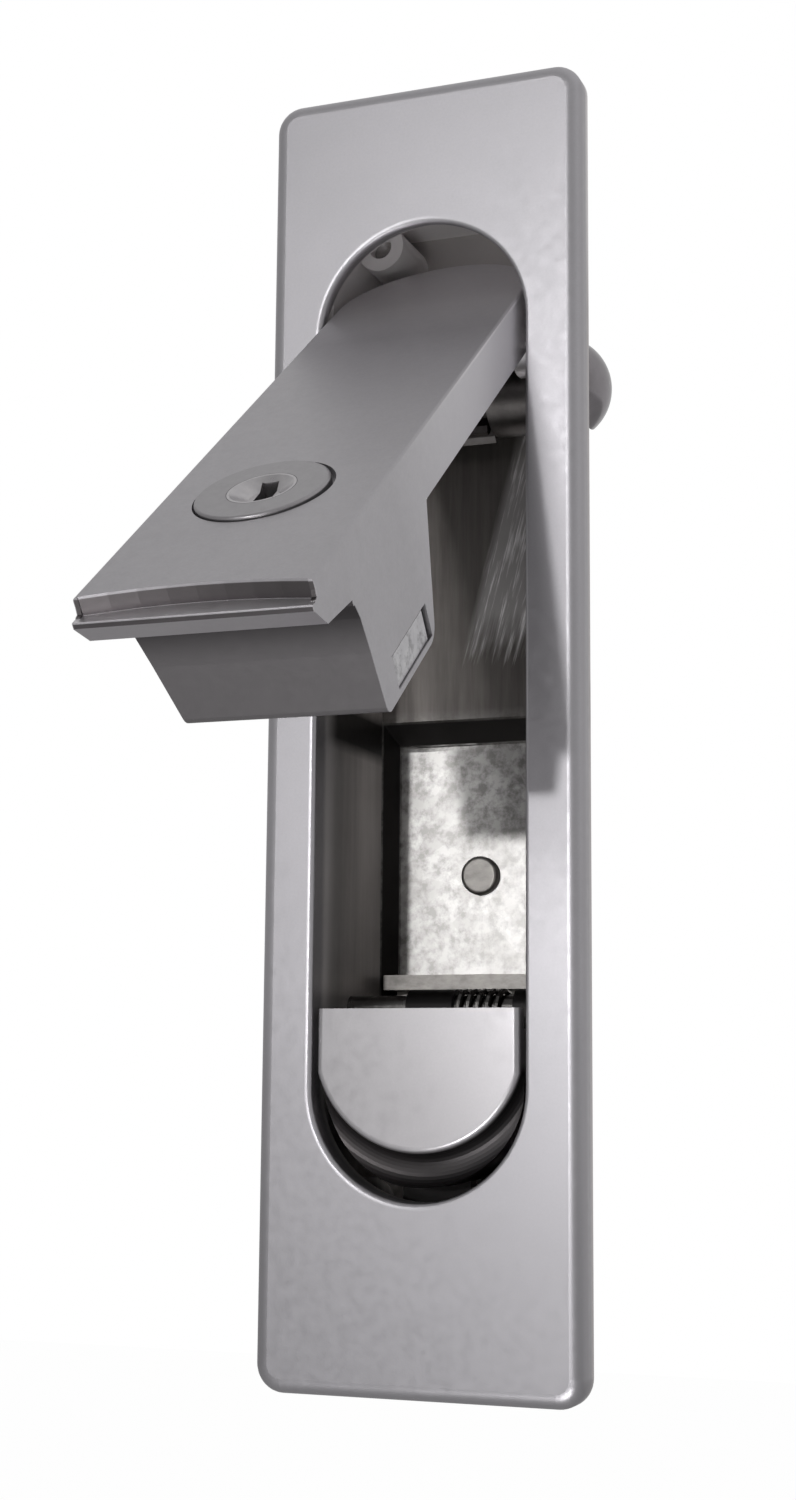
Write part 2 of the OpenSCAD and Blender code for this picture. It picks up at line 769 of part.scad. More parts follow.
// Pockets in the arm's back, two by three, with ribs between
module arm_cells() {
    tall = (cell_to - cell_from - (cell_rows - 1) * cell_rib) / cell_rows;
    wide = handle_half - cell_side - cell_rib / 2;
    for (row = [0:cell_rows - 1], side = [0, 1])
        translate([side == 0 ? cell_rib / 2 : -cell_rib / 2 - wide, cell_floor,
                   cell_from + row * (tall + cell_rib)])
            cube([wide, arm_t, tall]);
}

module handle() {
    line = -mesh_angle + handle_open;
    color("grey") from_face() swung() difference() {
        union() {
            upright(handle_end, opening_top) front_rounded(handle_half, root_t, handle_edge_r);
            upright(handle_end + throat_up, pivot_z) front_rounded(handle_half, arm_t, handle_edge_r);
            translate([0, 0, opening_top]) turned()
                round_edge_profile(handle_half, root_t, handle_edge_r);
            intersection() {
                across(-handle_half, handle_half) deep_profile();
                upright(handle_end - 5, handle_end + deep_len + 1) deep_section();
            }
            bar_x(hub_r, -handle_half, -spring_from, pivot_depth, pivot_z);
            bar_x(hub_r, spring_to, handle_half, pivot_depth, pivot_z);
            translate([0, pivot_depth, pivot_z]) across(-gear_w / 2, gear_w / 2) toothed(line);
            bar_x(gear_neck_r, -spring_from - past, gear_w / 2, pivot_depth, pivot_z);
            groove_ribs();
        }
        end_groove();
        bar_x(hinge_pin_r + run, -opening_r, opening_r, pivot_depth, pivot_z);
        bar_x(hub_r, spring_from - hub_gap, spring_to, pivot_depth, pivot_z);
        translate([spring_to - leg_groove_w, handle_coil_groove(), pivot_z - leg_groove_len])
            cube([leg_groove_w, arm_t, leg_groove_len]);
        arm_cells();
        cylinder_room();
        bolt_room();
    }
}

// Floor of the groove for the spring's leg in the arm's back
function handle_coil_groove() = pivot_depth - handle_coil_r - handle_wire / 2 - 0.05;

// Groove before the lip: its wall recedes in the middle, and a thin rib closes each end
module end_groove() {
    half = handle_half - groove_rib;
    turn = asin(half / end_arc_r);
    through(-past, groove_deep) polygon(concat(
        [[-half, handle_end - 3]],
        arc(0, handle_end + end_curve - end_arc_r, end_arc_r, 90 + turn, 90 - turn, 8),
        [[half, handle_end - 3]]));
}

// Slanted ribs at the groove's ends, from the face down to the lip's ledge
module groove_ribs() {
    for (from = [-handle_half, handle_half - groove_rib])
        across(from, from + groove_rib) polygon([
            [0.4, handle_end + 0.5], [groove_deep + 0.3, handle_end + 0.5],
            [groove_deep + 0.3, handle_end - lip_reach + 0.5], [1.8, handle_end - 0.5],
            [1.7, handle_end - 0.1], [0.4, handle_end + 0.1]]);
}

// Bores for the key cylinder and its screw
module cylinder_room() {
    bar_y(flange_r + 0.35, -past, flange_seat, cylinder_x + 0.15, cylinder_z);
    bar_y(barrel_r + run, flange_seat - past, barrel_depth + 0.05, cylinder_x, cylinder_z);
    bar_y(plug_r + 0.3, barrel_depth, driver_room, cylinder_x, cylinder_z);
    bar_y(cylinder_screw_r + 0.05, barrel_depth - past, deep_d, cylinder_x,
        cylinder_z + cylinder_screw_up);
    bar_y(cylinder_screw_head_r + 0.15, cylinder_screw_seat, deep_d + past, cylinder_x,
        cylinder_z + cylinder_screw_up);
}

// Channel and window of the side bolt
module bolt_room() {
    translate([bolt_tail - 0.3, bolt_rear + window_rear_gap - window_d, window_foot])
        cube([handle_half + past - bolt_tail + 0.3, window_d, window_h]);
}

module handle_pin() {
    color("silver") from_face() bar_x(hinge_pin_r, -box_half, box_half, pivot_depth, pivot_z);
}

module handle_spring() {
    path = coil_path(handle_coil_r, 180 - handle_open, -handle_turn, handle_pitch, handle_leg,
        box_depth + sheet_t + handle_leg_past - pivot_depth);
    color("dimgrey") from_face() translate([handle_coil_x, pivot_depth, pivot_z])
        wire(path, handle_wire);
}

module cylinder_body() {
    color("silver") from_face() swung() translate([cylinder_x, 0, cylinder_z]) difference() {
        union() {
            translate([0, -flange_proud, 0]) turned()
                round_edge_profile(flange_r, flange_seat + flange_proud, 0.3);
            bar_y(barrel_r, flange_seat - past, barrel_depth, 0, 0);
        }
        bar_y(plug_r + run, -1, barrel_depth + past, 0, 0);
        bar_y(cylinder_screw_r, barrel_depth - 4.5, barrel_depth + past, 0, cylinder_screw_up);
    }
}

module cylinder_screw() {
    color("dimgrey") from_face() swung()
        translate([cylinder_x, 0, cylinder_z + cylinder_screw_up]) difference() {
            union() {
                bar_y(cylinder_screw_r, barrel_depth - 4, cylinder_screw_seat + past, 0, 0);
                bar_y(cylinder_screw_head_r, cylinder_screw_seat,
                    cylinder_screw_seat + cylinder_screw_head_h, 0, 0);
            }
            translate([-2, cylinder_screw_seat + cylinder_screw_head_h - 0.5, -0.25])
                cube([4, 1, 0.5]);
        }
}

// Plug with a dished front and a key way along the handle
module key_plug() {
    dish_r = plug_r - 0.25;
    color("silver") from_face() swung() translate([cylinder_x, 0, cylinder_z]) difference() {
        bar_y(plug_r, -flange_proud, barrel_depth, 0, 0);
        translate([0, -flange_proud - 0.01, 0]) rotate([-90, 0, 0])
            cylinder(r1 = dish_r, r2 = dish_r - 1.7, h = 1);
        translate([-key_way_w / 2, -1, -key_way_len / 2]) cube([key_way_w, 10, key_way_len]);
    }
}

// Disc and eccentric on the back of the plug
module bolt_driver() {
    color("gold") from_face() swung() translate([cylinder_x, 0, cylinder_z]) {
        bar_y(driver_r, barrel_depth, barrel_depth + driver_t, 0, 0);
        bar_y(eccentric_r, barrel_depth + 0.1, bolt_rear, -eccentric_off, -eccentric_off);
    }
}

module side_bolt() {
    slot = eccentric_r + 0.15;
    lift = eccentric_off * sqrt(2);
    color("gainsboro") from_face() swung() difference() {
        translate([bolt_tail, bolt_front, bolt_foot]) cube([bolt_tip - bolt_tail, bolt_t, bolt_w]);
        translate([cylinder_x - eccentric_off - slot, bolt_front - past,
                   cylinder_z - lift - slot])
            cube([2 * slot, bolt_t + 2 * past, lift - eccentric_off + 2 * slot]);
        translate([cylinder_x - bolt_travel - driver_r - free, barrel_depth,
                   cylinder_z - driver_r - free])
            cube([bolt_travel + 2 * (driver_r + free), driver_t + free, 2 * (driver_r + free)]);
    }
}

// One crank arm across depth and height, pointing straight back
module crank_arm_profile() {
    root = crank_barrel_r - 0.6;
    end = crank_end_r - 0.35;
    circle(crank_barrel_r);
    translate([crank_reach, 0]) circle(crank_end_r);
    polygon([[0, root], [crank_reach, end], [crank_reach, -end], [0, -root]]);
}

module drive_crank() {
    phase = 180 - mesh_angle + gear_step / 2 - crank_rest;
    color("dimgrey") from_face() translate([0, drive_y, drive_z]) rotate([crank_rest, 0, 0])
        difference() {
            union() {
                across(-gear_w / 2, gear_w / 2) toothed(phase);
                bar_x(gear_neck_r, -crank_half, crank_half, 0, 0);
                for (side = [-1, 1]) mirror([side < 0 ? 1 : 0, 0, 0]) {
                    bar_x(crank_barrel_r, spring_from, crank_half, 0, 0);
                    across(crank_arm_x, crank_arm_x + crank_arm_t) crank_arm_profile();
                }
            }
            bar_x(drive_pin_r + run, -opening_r, opening_r, 0, 0);
            bar_x(rod_end_r + fit, -opening_r, opening_r, crank_reach, 0);
        }
}

// Places children at the rod pin, with the crank in its rest position
module at_rod_pin() {
    from_face() translate([0, drive_y, drive_z]) rotate([crank_rest, 0, 0])
        translate([0, crank_reach, 0]) children();
}

module rod_pin() {
    reach = crank_arm_x + crank_arm_t + 2;
    shoulder = crank_arm_x - 0.1;
    color("silver") at_rod_pin() difference() {
        union() {
            bar_x(rod_end_r, -reach, reach, 0, 0);
            bar_x(rod_pin_r, -shoulder, shoulder, 0, 0);
        }
        for (side = [-1, 1]) mirror([side < 0 ? 1 : 0, 0, 0]) difference() {
            bar_x(rod_end_r + past, reach - 1.5, reach - 0.7, 0, 0);
            bar_x(rod_end_r - clip_groove, reach - 1.6, reach - 0.6, 0, 0);
        }
    }
}

// Spring clip with an open side
module open_clip(inner, outer, thick) {
    difference() {
        bar_x(outer, 0, thick, 0, 0);
        bar_x(inner, -past, thick + past, 0, 0);
        translate([-past, 0, -inner * 0.8]) cube([thick + 2 * past, outer + past, inner * 1.6]);
    }
}

module rod_clips() {
    from = crank_arm_x + crank_arm_t + 0.55;
    color("dimgrey") at_rod_pin() for (side = [-1, 1]) mirror([side < 0 ? 1 : 0, 0, 0])
        translate([from, 0, 0]) open_clip(rod_end_r - clip_groove, rod_end_r + 1.3, 0.7);
}

module drive_pin() {
    left = box_half + clip_gap + clip_t + 0.9;
    right = box_half + washer_t;
    color("silver") from_face() translate([0, drive_y, drive_z]) {
        difference() {
            bar_x(drive_pin_r, -left, right + past, 0, 0);
            difference() {
                bar_x(drive_pin_r + past, -left + 0.85, -left + 0.95 + clip_t, 0, 0);
                bar_x(drive_pin_r - clip_groove, -left, -left + 2 + clip_t, 0, 0);
            }
        }
        intersection() {
            translate([right + dome_h - dome_ball_r, 0, 0]) rotate([0, 90, 0]) sphere(dome_ball_r);
            bar_x(dome_r + past, right, right + dome_h + past, 0, 0);
        }
    }
}

module pin_washer() {
    color("lightgrey") from_face() difference() {
        bar_x(washer_r, box_half, box_half + washer_t, drive_y, drive_z);
        bar_x(drive_pin_r + fit, 0, box_half + washer_t + past, drive_y, drive_z);
    }
}

module drive_clip() {
    color("dimgrey") from_face()
        translate([-box_half - clip_gap - clip_t, drive_y, drive_z])
            open_clip(drive_pin_r - clip_groove, drive_pin_r + 1.7, clip_t);
}

// Ring below the button's face: rounded edge, then a trough and the flat of the rim
module scoop_profile() {
    soft = button_edge_r;
    polygon(concat(
        [[face_arc_r - soft, -1]],
        arc(face_arc_r - soft, soft, soft, -90, -8, 6),
        arc(face_arc_r + scoop_r, soft, scoop_r, 180, 8, 14),
        [[face_arc_r + 2 * scoop_r, scoop_rim], [face_arc_r + 12, scoop_rim],
         [face_arc_r + 12, -1]]
    ));
}

// Front wall and rim of the button, before its scoop and hollow
module button_blank() {
    upright(button_arc_z, button_top) front_rounded(button_half, button_rear, button_edge_r);
    translate([0, 0, button_arc_z]) intersection() {
        turned() round_edge_profile(button_half, button_rear, button_edge_r);
        translate([-opening_r, 0, -opening_r]) cube([opening_w, button_rear, opening_r + past]);
    }
}

module button_hollow() {
    inner_r = face_arc_r - button_wall - 0.2;
    intersection() {
        bar_y(inner_r, button_wall, button_rear + 1, 0, face_arc_z);
        translate([-button_half + button_wall, 0, face_arc_z - inner_r])
            cube([2 * (button_half - button_wall), button_rear + 1, web_foot - face_arc_z + inner_r]);
    }
    translate([0, button_edge_r + scoop_r + button_wall, button_arc_z]) difference() {
        bar_y(button_half - button_wall, 0, button_rear, 0, 0);
        translate([-opening_r, -1, web_foot - button_arc_z]) cube([opening_w, button_rear + 2, opening_r]);
    }
}

module push_button() {
    color("lightgrey") from_face() difference() {
        union() {
            difference() {
                button_blank();
                translate([0, 0, face_arc_z]) turned() scoop_profile();
                button_hollow();
                translate([-opening_r, button_wall, web_top]) cube([opening_w, button_rear, 5]);
            }
            button_lugs();
            translate([-tail_half, button_rear - past, web_foot])
                cube([2 * tail_half, tail_end - button_rear + past, web_t]);
            translate([-tail_half, tail_end - 1.3, web_foot])
                cube([2 * tail_half, 1.3, nub_top - web_foot]);
            button_foot();
        }
        bar_x(button_pin_r + run, -opening_r, opening_r, button_pivot_depth, button_pivot_z);
    }
}

// Foot that catches behind the plate below the opening, out of sight
module button_foot() {
    low = opening_foot - 1.9;
    translate([-tail_half, button_rear - 2, low]) cube([2 * tail_half, 2, 4.6]);
    translate([-tail_half, plate_t + free, low]) cube([2 * tail_half, button_rear - plate_t - free, 1.3]);
}

// Two lugs that stand on the button's web and turn on its pin
module button_lugs() {
    for (lug = [lug_inner, lug_outer]) {
        bar_x(button_hub_r, lug[0], lug[1], button_pivot_depth, button_pivot_z);
        translate([lug[0], button_rear - past, web_foot])
            cube([lug[1] - lug[0], button_pivot_depth + button_hub_r - button_rear + past, web_t]);
        translate([lug[0], button_pivot_depth - button_hub_r, web_foot])
            cube([lug[1] - lug[0], 2 * button_hub_r, button_pivot_z - web_foot]);
    }
}

module button_pin() {
    color("silver") from_face()
        bar_x(button_pin_r, -box_half, box_half, button_pivot_depth, button_pivot_z);
}

module button_spring() {
    path = coil_path(button_coil_r, 90 - button_lean, button_turn, button_pitch,
        button_legs[0], button_legs[1]);
    color("dimgrey") from_face() translate([button_coil_x, button_pivot_depth, button_pivot_z])
        wire(path, button_wire);
}

lock_housing();
back_plate();
back_screws();
guide_rivet();
rod_guide();
stop_bracket();
travel_stop();
bracket_rivets();
handle();
handle_pin();
handle_spring();
cylinder_body();
cylinder_screw();
key_plug();
bolt_driver();
side_bolt();
drive_crank();
drive_pin();
pin_washer();
drive_clip();
rod_pin();
rod_clips();
push_button();
button_pin();
button_spring();
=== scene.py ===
"""Looks for the server rack lock: finishes of its castings, sheet and pins, with floor, lamps and camera.

Places are metres in the frame, where the front faces -Y and +Z points up the plate.
"""

import json
import math

import bmesh
import bpy
from mathutils import Matrix, Vector

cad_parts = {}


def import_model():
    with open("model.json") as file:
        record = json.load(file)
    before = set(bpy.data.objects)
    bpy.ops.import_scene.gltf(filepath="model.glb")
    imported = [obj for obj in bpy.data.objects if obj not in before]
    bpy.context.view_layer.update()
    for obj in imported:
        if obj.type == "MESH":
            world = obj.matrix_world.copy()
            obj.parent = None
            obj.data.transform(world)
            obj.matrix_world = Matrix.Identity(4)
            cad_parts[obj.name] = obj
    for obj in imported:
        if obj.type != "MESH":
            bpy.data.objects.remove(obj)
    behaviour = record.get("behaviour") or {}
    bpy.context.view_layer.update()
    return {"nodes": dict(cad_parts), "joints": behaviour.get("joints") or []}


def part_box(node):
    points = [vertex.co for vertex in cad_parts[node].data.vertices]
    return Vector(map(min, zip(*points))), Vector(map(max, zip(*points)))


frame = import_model()
nodes = frame["nodes"]

plate_low, plate_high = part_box("lock_housing")
sheet_low, sheet_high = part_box("back_plate")
handle_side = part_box("handle")[1].x
handle_joint = next(joint for joint in frame["joints"] if joint["name"] == "handle_open")

# Building a finish

# Here and below, a pair gives where a change of finish starts and where it ends. These two are on a
# noise's values, most of which lie between them.
MIDDLE = (0.3, 0.7)
WIDE = (0.2, 0.8)


def add_node(tree, kind, **settings):
    node = tree.nodes.new(kind)
    for key, value in settings.items():
        setattr(node, key, value)
    return node


class Finish:
    """One procedural material, with its Principled shader and Object coordinates."""

    def __init__(self, name, color, metallic, roughness):
        self.mat = bpy.data.materials.new(name)
        self.mat.use_nodes = True
        self.tree = self.mat.node_tree
        self.shader = self.tree.nodes["Principled BSDF"]
        self.shader.inputs["Base Color"].default_value = (*color, 1)
        self.shader.inputs["Metallic"].default_value = metallic
        self.shader.inputs["Roughness"].default_value = roughness
        self.coords = self.add("ShaderNodeTexCoord").outputs["Object"]

    def add(self, kind, **settings):
        return add_node(self.tree, kind, **settings)

    def link(self, source, target):
        self.tree.links.new(source, target)

    def mapped(self, scale=(1, 1, 1), turn=(0, 0, 0), place=(0, 0, 0)):
        """Object coordinates that are scaled, turned and moved."""
        mapping = self.add("ShaderNodeMapping")
        mapping.inputs["Scale"].default_value = scale
        mapping.inputs["Rotation"].default_value = turn
        mapping.inputs["Location"].default_value = place
        self.link(self.coords, mapping.inputs["Vector"])
        return mapping.outputs["Vector"]

    def noise(self, scale, detail, rough=0.55, coords=None):
        node = self.add("ShaderNodeTexNoise")
        node.inputs["Scale"].default_value = scale
        node.inputs["Detail"].default_value = detail
        node.inputs["Roughness"].default_value = rough
        self.link(coords or self.coords, node.inputs["Vector"])
        return node.outputs["Fac"]

    def axes(self, coords=None):
        """The three coordinates, which are beside, depth and height."""
        node = self.add("ShaderNodeSeparateXYZ")
        self.link(coords or self.coords, node.inputs["Vector"])
        return node.outputs

    def away(self, center):
        """Distance from a line along Y."""
        flat = self.add("ShaderNodeVectorMath", operation="MULTIPLY")
        flat.inputs[1].default_value = (1, 0, 1)
        self.link(self.coords, flat.inputs[0])
        node = self.add("ShaderNodeVectorMath", operation="DISTANCE")
        node.inputs[1].default_value = center
        self.link(flat.outputs["Vector"], node.inputs[0])
        return node.outputs["Value"]

    def math(self, operation, *values):
        node = self.add("ShaderNodeMath", operation=operation)
        for socket, value in zip(node.inputs, values):
            if isinstance(value, (int, float)):
                socket.default_value = value
            else:
                self.link(value, socket)
        return node.outputs[0]

    def both(self, *masks):
        """Product of several masks or numbers."""
        out = masks[0]
        for mask in masks[1:]:
            out = self.math("MULTIPLY", out, mask)
        return out

    def ramp(self, value, start, end, low=0.0, high=1.0, smooth=False):
        """Low where the value is at start, high where it is at end, and even beyond them."""
        node = self.add("ShaderNodeMapRange", interpolation_type="SMOOTHSTEP" if smooth else "LINEAR")
        node.inputs["From Min"].default_value = start
        node.inputs["From Max"].default_value = end
        node.inputs["To Min"].default_value = low
        node.inputs["To Max"].default_value = high
        self.link(value, node.inputs["Value"])
        return node.outputs["Result"]

    def tint(self, mask, low, high):
        """A colour between two, each of which is a colour or another node's result."""
        node = self.add("ShaderNodeMix", data_type="RGBA")
        for socket, color in ((node.inputs["A"], low), (node.inputs["B"], high)):
            if isinstance(color, tuple):
                socket.default_value = (*color, 1)
            else:
                self.link(color, socket)
        self.link(mask, node.inputs["Factor"])
        return node.outputs["Result"]

    def paint(self):
        """The colour that the surface has so far."""
        return self.shader.inputs["Base Color"].links[0].from_socket

    def color(self, source):
        self.link(source, self.shader.inputs["Base Color"])

    def metallic(self, source):
        self.link(source, self.shader.inputs["Metallic"])

    def roughness(self, source):
        self.link(source, self.shader.inputs["Roughness"])

    def bump(self, height, distance, strength=1.0):
        """Bump on top of what the surface has so far."""
        node = self.add("ShaderNodeBump")
        node.inputs["Strength"].default_value = strength
        node.inputs["Distance"].default_value = distance
        self.link(height, node.inputs["Height"])
        earlier = self.shader.inputs["Normal"].links
        if earlier:
            self.link(earlier[0].from_socket, node.inputs["Normal"])
        self.link(node.outputs["Normal"], self.shader.inputs["Normal"])


# Blasted castings

# Noise scales of the faint clouds, of the grain and of the uneven sheen
CLOUD_SCALE = 28
GRAIN_SCALE = 3600
SHEEN_SCALE = 900

# The grain's pits: where they start and end on its values, their colour as a share of the light colour,
# and how far they cover it
PITS = (0.25, 0.75)
PIT_SHADE = 0.72
PIT_SHARE = 0.3

# How much smoother and rougher than its mean a casting gets, and how metallic it is
CAST_SPREAD = (-0.05, 0.06)
CAST_METALLIC = 0.9
GRAIN_DEPTH = 0.00006
GRAIN_STRENGTH = 0.05


def blasted(name, light, dark, rough=0.37):
    """Die casting, blasted to an even satin: fine grain with broad faint clouds."""
    f = Finish(name, light, CAST_METALLIC, rough)
    clouds = f.ramp(f.noise(CLOUD_SCALE, 4, 0.6), *MIDDLE)
    grain = f.noise(GRAIN_SCALE, 3, 0.7)
    pits = f.ramp(grain, *PITS, high=PIT_SHARE)
    f.color(f.tint(pits, f.tint(clouds, dark, light), tuple(PIT_SHADE * c for c in light)))
    f.roughness(f.ramp(f.noise(SHEEN_SCALE, 3), *WIDE, *(rough + more for more in CAST_SPREAD)))
    f.bump(grain, GRAIN_DEPTH, GRAIN_STRENGTH)
    return f


# Centres and radius of the half circles at the opening's ends
OPENING_TOP = 0.0453
OPENING_FOOT = -0.0416
OPENING_R = 0.0125

# Depths at which the raw inside starts, at which the painted light at its mouth fades into darker painted
# shade, and at which painted light comes back in its deep part
INSIDE = (-0.0012, -0.0002)
PAINTED_LIGHT_MOUTH = (0, 0.004)
PAINTED_LIGHT_DEEP = (0.004, 0.012)

# Heights of the plate's foot, which gets painted shade, and of the inside's top, which gets painted light,
# and the strip along the plate's right, which gets painted shade
PAINTED_SHADE_FOOT = (-0.03, plate_low.z)
PAINTED_LIGHT_TOP = (0.046, 0.056)
PAINTED_SHADE_RIGHT = (plate_high.x - 0.0004, plate_high.x - 0.0001)

# Painted shadow: lower and upper edge of the dark band across the walls, and the depth that it starts at
SHADOW_BAND_FOOT = (-0.0028, -0.0012)
SHADOW_BAND_TOP = (0.0036, 0.0022)
SHADOW_BAND_DEPTH = (-0.001, 0.003)

# Rounded rim of the opening: how wide it is, where it ends on the right, and how far it falls
RIM_WIDTH = (OPENING_R + 0.0008, OPENING_R + 0.0003)
RIM_END = (0.006, -0.002)
RIM_FALL = 0.00006

# Scale of the lines that the die's draw left inside the box: close across, long up and down
DRAW_SCALE = (2600, 300, 25)

# How much less metallic the raw casting inside is, and its top with painted light besides
INSIDE_LOSS = 0.3
TOP_LOSS = 0.5


def housing_finish():
    """Blasted plate with a rounded rim; inside, a browner raw casting with painted light at mouth, top and
    back.
    """
    f = blasted("blasted_plate", (0.52, 0.505, 0.53), (0.46, 0.45, 0.47))
    beside, depth, height = f.axes()

    # Painted shade: the plate is darker towards its foot and on the strip along its right
    plate = f.tint(f.ramp(height, *PAINTED_SHADE_FOOT), f.paint(), (0.35, 0.34, 0.358))
    plate = f.tint(f.ramp(beside, *PAINTED_SHADE_RIGHT), plate, (0.42, 0.405, 0.425))

    lines = f.ramp(f.noise(1, 4, 0.6, f.mapped(DRAW_SCALE)), *MIDDLE)
    # Painted light and shade: the raw casting is paler at the mouth and at the back and darker in between
    mouth_light = f.tint(lines, (0.5, 0.475, 0.47), (0.66, 0.63, 0.63))
    middle_shade = f.tint(lines, (0.26, 0.245, 0.24), (0.38, 0.355, 0.35))
    deep_light = f.tint(lines, (0.48, 0.445, 0.43), (0.7, 0.655, 0.635))
    raw = f.tint(f.ramp(depth, *PAINTED_LIGHT_MOUTH), mouth_light, middle_shade)
    raw = f.tint(f.ramp(depth, *PAINTED_LIGHT_DEEP), raw, deep_light)
    # Painted shadow: a dark band across the inside walls
    shadow_band = f.both(f.ramp(height, *SHADOW_BAND_FOOT), f.ramp(height, *SHADOW_BAND_TOP), f.ramp(depth, *SHADOW_BAND_DEPTH))
    raw = f.tint(shadow_band, raw, (0.035, 0.032, 0.031))
    # Painted light: the inside's top is near white
    lit_top = f.ramp(height, *PAINTED_LIGHT_TOP)
    raw = f.tint(lit_top, raw, (0.92, 0.89, 0.89))
    inside = f.ramp(depth, *INSIDE)
    f.color(f.tint(inside, plate, raw))
    loss = f.math("ADD", f.both(inside, INSIDE_LOSS), f.both(inside, lit_top, TOP_LOSS))
    f.metallic(f.math("SUBTRACT", CAST_METALLIC, loss))

    nearest = f.math("MAXIMUM", f.math("MINIMUM", height, OPENING_TOP), OPENING_FOOT)
    past = f.math("SUBTRACT", height, nearest)
    reach = f.math("SQRT", f.math("ADD", f.both(beside, beside), f.both(past, past)))
    rim = f.both(f.ramp(reach, *RIM_WIDTH), f.ramp(beside, *RIM_END))
    f.bump(f.both(rim, rim, -1), RIM_FALL)
    return f


# Heights on the shut handle: the tops of its lip and deep end, the root, and the stretch of its right
# cheek; the root and the cheek get painted light
LIP_TOP = (-0.0312, -0.0314)
DEEP_END_TOP = (-0.0225, -0.0227)
PAINTED_LIGHT_ROOT = (0.032, 0.042)
CHEEK_LIGHT_RISE = (-0.01, 0.035)

# Depths on the shut handle at which the forms of its lip's end start: the groove's wall and ledge, the
# step, the slope, and the face of the deep end, which gets painted shade that is darkest near the slope
WALL = (-0.0034, -0.0033)
LEDGE = (-0.00172, -0.00171)
LEDGE_END = (-0.00168, -0.00169)
STEP = (-0.0016, -0.00154)
SLOPE = (-0.00114, -0.00108)
END_FACE = (0.0011, 0.0013)
SHADE_END = (0.0085, 0.003)

# The handle's flat middle and its right cheek, from its side, and the groove wall's painted shade from left
# to right
CORE = (handle_side - 0.00003, handle_side - 0.0001)
CHEEK = (handle_side - 0.0001, handle_side - 0.00005)
GROOVE_SHADE_SPAN = (-0.012, 0.008)


def handle_finish():
    """Blasted, with painted light on the lip's ledge, root and right cheek, and painted shade on the lip's
    other faces.
    """
    f = blasted("blasted_handle", (0.5, 0.485, 0.505), (0.45, 0.435, 0.455))
    angle = -math.radians(handle_joint["range_deg"][0])
    pivot = Vector(handle_joint["pos_m"])
    place = pivot - Matrix.Rotation(angle, 3, "X") @ pivot
    beside, depth, height = f.axes(f.mapped(turn=(angle, 0, 0), place=tuple(place)))

    core = f.ramp(f.math("ABSOLUTE", beside), *CORE)
    lip = f.both(core, f.ramp(height, *LIP_TOP))
    wall = f.both(lip, f.ramp(depth, *WALL), f.ramp(depth, *reversed(LEDGE)))
    ledge = f.both(lip, f.ramp(depth, *LEDGE), f.ramp(depth, *LEDGE_END))
    step = f.both(lip, f.ramp(depth, *STEP), f.ramp(depth, *reversed(SLOPE)))
    slope = f.both(lip, f.ramp(depth, *SLOPE), f.ramp(depth, *reversed(END_FACE)))
    end_face = f.both(core, f.ramp(height, *DEEP_END_TOP), f.ramp(depth, *END_FACE))
    shade = f.both(end_face, f.ramp(depth, *SHADE_END, smooth=True))
    # Painted shade on the groove wall, step, slope and deep end's face, and painted light on the ledge
    groove_shade = f.tint(f.ramp(beside, *GROOVE_SHADE_SPAN), (0.15, 0.138, 0.142), (0.1, 0.092, 0.094))

    paint = f.tint(end_face, f.paint(), (0.2, 0.19, 0.196))
    paint = f.tint(shade, paint, (0.06, 0.055, 0.058))
    paint = f.tint(slope, paint, (0.42, 0.4, 0.42))
    paint = f.tint(step, paint, (0.1, 0.092, 0.096))
    paint = f.tint(wall, paint, groove_shade)
    paint = f.tint(ledge, paint, (0.7, 0.68, 0.7))
    # Painted light: the handle is paler near its root and on its right cheek
    paint = f.tint(f.ramp(height, *PAINTED_LIGHT_ROOT), paint, (0.66, 0.64, 0.66))
    lit_cheek = f.both(f.ramp(beside, *CHEEK), f.ramp(height, *CHEEK_LIGHT_RISE))
    f.color(f.tint(lit_cheek, paint, (0.85, 0.83, 0.86)))
    return f


# The scoop under the button's face: centre of its arc, and its radius, depth and height
SCOOP_CENTER = (0, 0, -0.0364)
SCOOP_R = (0.0121, 0.0124)
SCOOP_DEPTH = (plate_low.y + 0.0004, plate_low.y + 0.0008)
SCOOP_TOP = (-0.0364, -0.038)

# The scoop's painted shade from left to right, and the depth at which the painted shade behind the face
# starts
SCOOP_SHADE_SPAN = (-0.01, 0.001)
SHADE_BEHIND = (0.0003, 0.0009)

# Centre of the soft crown of the button's face, and its radius
CROWN_CENTER = (0, 0, -0.036)
CROWN_R = 0.33


def button_finish():
    """Blasted and slightly crowned face, with painted shade on the scoop under it and on all that lies
    behind it.
    """
    f = blasted("blasted_button", (0.52, 0.505, 0.52), (0.46, 0.445, 0.46))
    beside, depth, height = f.axes()
    scoop = f.both(
        f.ramp(f.away(SCOOP_CENTER), *SCOOP_R),
        f.ramp(depth, *SCOOP_DEPTH),
        f.ramp(height, *SCOOP_TOP),
    )
    # Painted shade: the scoop under the face is near black, darker to the right
    scoop_shade = f.tint(f.ramp(beside, *SCOOP_SHADE_SPAN), (0.08, 0.073, 0.074), (0.04, 0.037, 0.038))
    paint = f.tint(scoop, f.paint(), scoop_shade)
    # Painted shade: everything behind the face is near black
    f.color(f.tint(f.ramp(depth, *SHADE_BEHIND), paint, (0.015, 0.014, 0.014)))
    off = f.away(CROWN_CENTER)
    f.bump(f.both(off, off, -0.5 / CROWN_R), 1)
    return f


# Thickness of the back plate, and with it the depth of the pan, its pressed lower part
SHEET_THICK = 0.001
PAN_DEPTH = sheet_high.y - SHEET_THICK

